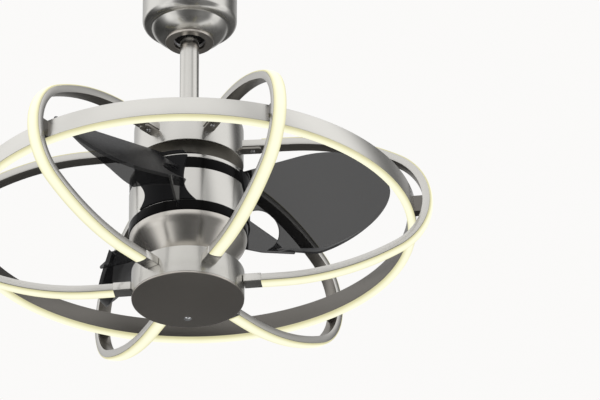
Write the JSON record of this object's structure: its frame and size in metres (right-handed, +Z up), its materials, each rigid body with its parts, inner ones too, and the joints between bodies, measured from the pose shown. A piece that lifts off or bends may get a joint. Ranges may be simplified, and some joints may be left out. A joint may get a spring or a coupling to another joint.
{
  "type": "orbital ceiling fan with light ring",
  "caption": "Ceiling fan with smoked blades turning inside a cage of bent light arms and a level light ring, hung on a downrod with a round canopy.",
  "frame": {"origin": "centre of the bracket plate's upper face, on the ceiling plane and the fan's axis", "axes": "+Z up along the downrod and the rotor's axis; +X along the line of the two ceiling screw slots"},
  "size_m": [0.676, 0.641, 0.5025],
  "materials": {
    "bracket_steel": "zinc plated",
    "nickel": "brushed nickel plate, satin",
    "nickel_channel": "brushed nickel plate, satin",
    "dark_nickel": "satin, reads dark from below",
    "black_plastic": "satin black",
    "white_plastic": "moulded",
    "clear_lens": "polished",
    "smoke_blade": "smoked translucent plastic, satin",
    "warm_light": "diffusing silicone, lit warm white",
    "led_board": "flexible circuit strip",
    "steel": "machined",
    "copper_coil": "enamelled copper wire",
    "magnet": "ground"
  },
  "bodies": {
    "ceiling_mount": {"hanger_bracket": "bracket_steel", "canopy": "nickel", "canopy_ring": "nickel", "canopy_screws": "steel"},
    "seat": {"ball_seat": "black_plastic"},
    "fixture": {"downrod": "nickel", "coupling_cover": "nickel", "upper_housing": "nickel", "lower_cone": "nickel", "light_hub": "nickel", "arm_sleeves": "nickel", "arm_channel_1": "nickel_channel", "arm_channel_2": "nickel_channel", "arm_channel_3": "nickel_channel", "arm_channel_4": "nickel_channel", "arm_channel_5": "nickel_channel", "arm_channel_6": "nickel_channel", "ring_channel": "nickel_channel", "housing_floor": "dark_nickel", "bottom_plate": "dark_nickel", "upper_brackets": "dark_nickel", "ring_brackets": "dark_nickel", "hanger_ball": "black_plastic", "remote_receiver": "black_plastic", "motor_driver": "black_plastic", "led_driver": "white_plastic", "sensor_lens": "clear_lens", "arm_light_1": "warm_light", "arm_light_2": "warm_light", "arm_light_3": "warm_light", "arm_light_4": "warm_light", "arm_light_5": "warm_light", "arm_light_6": "warm_light", "ring_light": "warm_light", "arm_led_strips": "led_board", "ring_led_strip": "led_board", "hanger_pins": "steel", "yoke": "steel", "yoke_screws": "steel", "motor_shaft": "steel", "shaft_spacers": "steel", "shaft_nut": "steel", "bearing_inner_races": "steel", "sleeve_screws": "steel", "bracket_screws": "steel", "motor_stator": "steel", "stator_coils": "copper_coil"},
    "rotor": {"bearing_outer_races": "steel", "bearing_balls": "steel", "rotor_bell": "steel", "rotor_end_cap": "steel", "rotor_magnets": "magnet", "motor_shell": "nickel", "top_ring": "black_plastic", "bottom_ring": "black_plastic", "blade_plate": "nickel", "blade_a": "smoke_blade", "blade_b": "smoke_blade", "blade_c": "smoke_blade", "blade_screws": "steel"}
  },
  "joints": [
    {"name": "hang_tilt_x", "type": "hinge", "parent": "ceiling_mount", "child": "seat", "pos_m": [0, 0, -0.064], "axis": [1, 0, 0], "range_deg": [-12, 12]},
    {"name": "hang_tilt_y", "type": "hinge", "parent": "seat", "child": "fixture", "pos_m": [0, 0, -0.064], "axis": [0, 1, 0], "range_deg": [-12, 12]},
    {"name": "rotor_spin", "type": "hinge", "parent": "fixture", "child": "rotor", "pos_m": [0, 0, -0.36], "axis": [0, 0, 1], "continuous": true}
  ]
}
